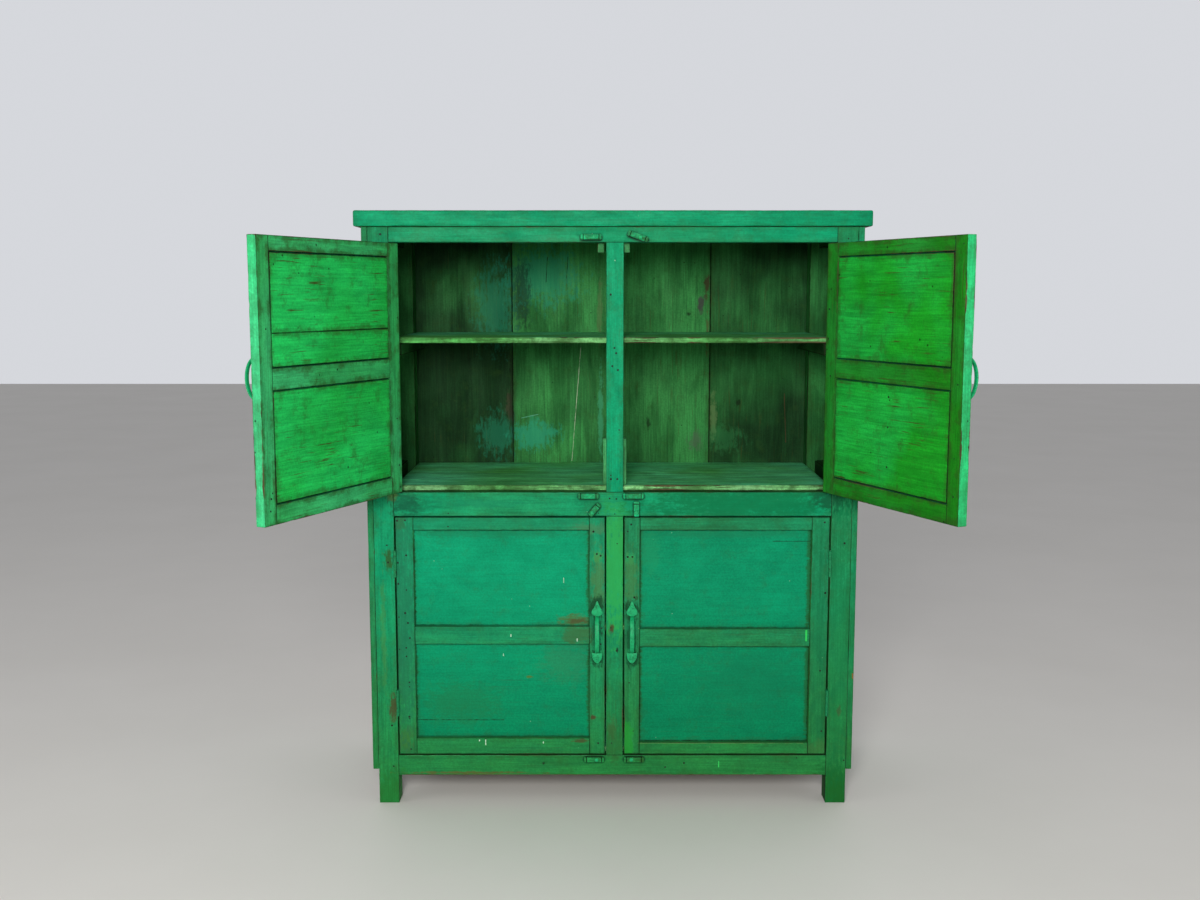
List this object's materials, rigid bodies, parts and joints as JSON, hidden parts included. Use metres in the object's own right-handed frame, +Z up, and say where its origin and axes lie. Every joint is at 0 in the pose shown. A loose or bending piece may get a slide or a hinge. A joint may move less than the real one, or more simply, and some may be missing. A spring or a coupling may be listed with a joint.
{
  "type": "pantry cabinet",
  "caption": "Two-tier painted wooden pantry cabinet with framed doors, shelves, iron bow handles, butt hinges and wooden turn buttons, upper doors standing open.",
  "frame": {"origin": "on the floor under the middle of the carcass's width and depth", "axes": "+Z up, the doors face -Y, +X to the right of someone facing the doors"},
  "size_m": [1.4523, 0.908, 1.414],
  "materials": {
    "carcass_paint": "old matt green paint, worn at edges",
    "inner_paint": "old matt green paint, thin and scuffed",
    "door_paint": "old matt green paint, worn at edges",
    "button_paint": "old matt green paint",
    "painted_iron": "iron painted green with the wood",
    "nail_iron": "dark old iron under thin paint"
  },
  "bodies": {
    "carcass": {"back_boards": "inner_paint", "back_rails": "inner_paint", "board_nails": "nail_iron", "bottom_deck": "inner_paint", "centre_stile_lower": "carcass_paint", "centre_stile_upper": "carcass_paint", "front_bottom_rail": "carcass_paint", "front_mid_rail": "carcass_paint", "front_top_rail": "carcass_paint", "hinge_frame_leaves": "painted_iron", "hinge_frame_screws": "painted_iron", "hinge_pins": "painted_iron", "lower_shelf": "inner_paint", "mid_deck": "inner_paint", "post_back_left": "carcass_paint", "post_back_right": "carcass_paint", "post_front_left": "carcass_paint", "post_front_right": "carcass_paint", "shelf_cleats": "inner_paint", "side_boards_left": "carcass_paint", "side_boards_right": "carcass_paint", "side_rails_left": "inner_paint", "side_rails_right": "inner_paint", "stop_blocks": "inner_paint", "top_board": "carcass_paint", "turn_button_screws": "painted_iron", "upper_shelf": "inner_paint"},
    "door_upper_left": {"door_upper_left_stiles": "door_paint", "door_upper_left_rails": "door_paint", "door_upper_left_panels": "door_paint", "door_upper_left_hinge_leaves": "painted_iron", "door_upper_left_handle": "painted_iron", "door_upper_left_screws": "painted_iron"},
    "door_upper_right": {"door_upper_right_stiles": "door_paint", "door_upper_right_rails": "door_paint", "door_upper_right_panels": "door_paint", "door_upper_right_hinge_leaves": "painted_iron", "door_upper_right_handle": "painted_iron", "door_upper_right_screws": "painted_iron"},
    "door_lower_left": {"door_lower_left_stiles": "door_paint", "door_lower_left_rails": "door_paint", "door_lower_left_panels": "door_paint", "door_lower_left_hinge_leaves": "painted_iron", "door_lower_left_handle": "painted_iron", "door_lower_left_screws": "painted_iron"},
    "door_lower_right": {"door_lower_right_stiles": "door_paint", "door_lower_right_rails": "door_paint", "door_lower_right_panels": "door_paint", "door_lower_right_hinge_leaves": "painted_iron", "door_lower_right_handle": "painted_iron", "door_lower_right_screws": "painted_iron"},
    "turn_button_top_left": {"turn_button_top_left": "button_paint"},
    "turn_button_top_right": {"turn_button_top_right": "button_paint"},
    "turn_button_high_left": {"turn_button_high_left": "button_paint"},
    "turn_button_high_right": {"turn_button_high_right": "button_paint"},
    "turn_button_low_left": {"turn_button_low_left": "button_paint"},
    "turn_button_low_right": {"turn_button_low_right": "button_paint"},
    "turn_button_bottom_left": {"turn_button_bottom_left": "button_paint"},
    "turn_button_bottom_right": {"turn_button_bottom_right": "button_paint"}
  },
  "joints": [
    {"name": "door_upper_left_hinge", "type": "hinge", "parent": "carcass", "child": "door_upper_left", "pos_m": [-0.514, -0.2242, 1], "axis": [0, 0, -1], "range_deg": [-114, 61]},
    {"name": "door_upper_right_hinge", "type": "hinge", "parent": "carcass", "child": "door_upper_right", "pos_m": [0.514, -0.2242, 1], "axis": [0, 0, 1], "range_deg": [-113, 62]},
    {"name": "door_lower_left_hinge", "type": "hinge", "parent": "carcass", "child": "door_lower_left", "pos_m": [-0.514, -0.2242, 0.42], "axis": [0, 0, -1], "range_deg": [0, 175]},
    {"name": "door_lower_right_hinge", "type": "hinge", "parent": "carcass", "child": "door_lower_right", "pos_m": [0.514, -0.2242, 0.42], "axis": [0, 0, 1], "range_deg": [0, 175]},
    {"name": "turn_button_top_left_pivot", "type": "hinge", "parent": "carcass", "child": "turn_button_top_left", "pos_m": [-0.044, -0.2246, 1.354], "axis": [0, -1, 0], "range_deg": [0, 180]},
    {"name": "turn_button_top_right_pivot", "type": "hinge", "parent": "carcass", "child": "turn_button_top_right", "pos_m": [0.063, -0.2246, 1.353], "axis": [0, -1, 0], "range_deg": [0, 180]},
    {"name": "turn_button_high_left_pivot", "type": "hinge", "parent": "carcass", "child": "turn_button_high_left", "pos_m": [-0.051, -0.2246, 0.754], "axis": [0, 1, 0], "range_deg": [0, 90]},
    {"name": "turn_button_high_right_pivot", "type": "hinge", "parent": "carcass", "child": "turn_button_high_right", "pos_m": [0.043, -0.2246, 0.754], "axis": [0, -1, 0], "range_deg": [0, 90]},
    {"name": "turn_button_low_left_pivot", "type": "hinge", "parent": "carcass", "child": "turn_button_low_left", "pos_m": [-0.048, -0.2246, 0.7145], "axis": [0, 1, 0], "range_deg": [0, 180]},
    {"name": "turn_button_low_right_pivot", "type": "hinge", "parent": "carcass", "child": "turn_button_low_right", "pos_m": [0.056, -0.2246, 0.7145], "axis": [0, 1, 0], "range_deg": [0, 180]},
    {"name": "turn_button_bottom_left_pivot", "type": "hinge", "parent": "carcass", "child": "turn_button_bottom_left", "pos_m": [-0.038, -0.2246, 0.111], "axis": [0, 1, 0], "range_deg": [0, 180]},
    {"name": "turn_button_bottom_right_pivot", "type": "hinge", "parent": "carcass", "child": "turn_button_bottom_right", "pos_m": [0.046, -0.2246, 0.111], "axis": [0, -1, 0], "range_deg": [0, 180]}
  ]
}
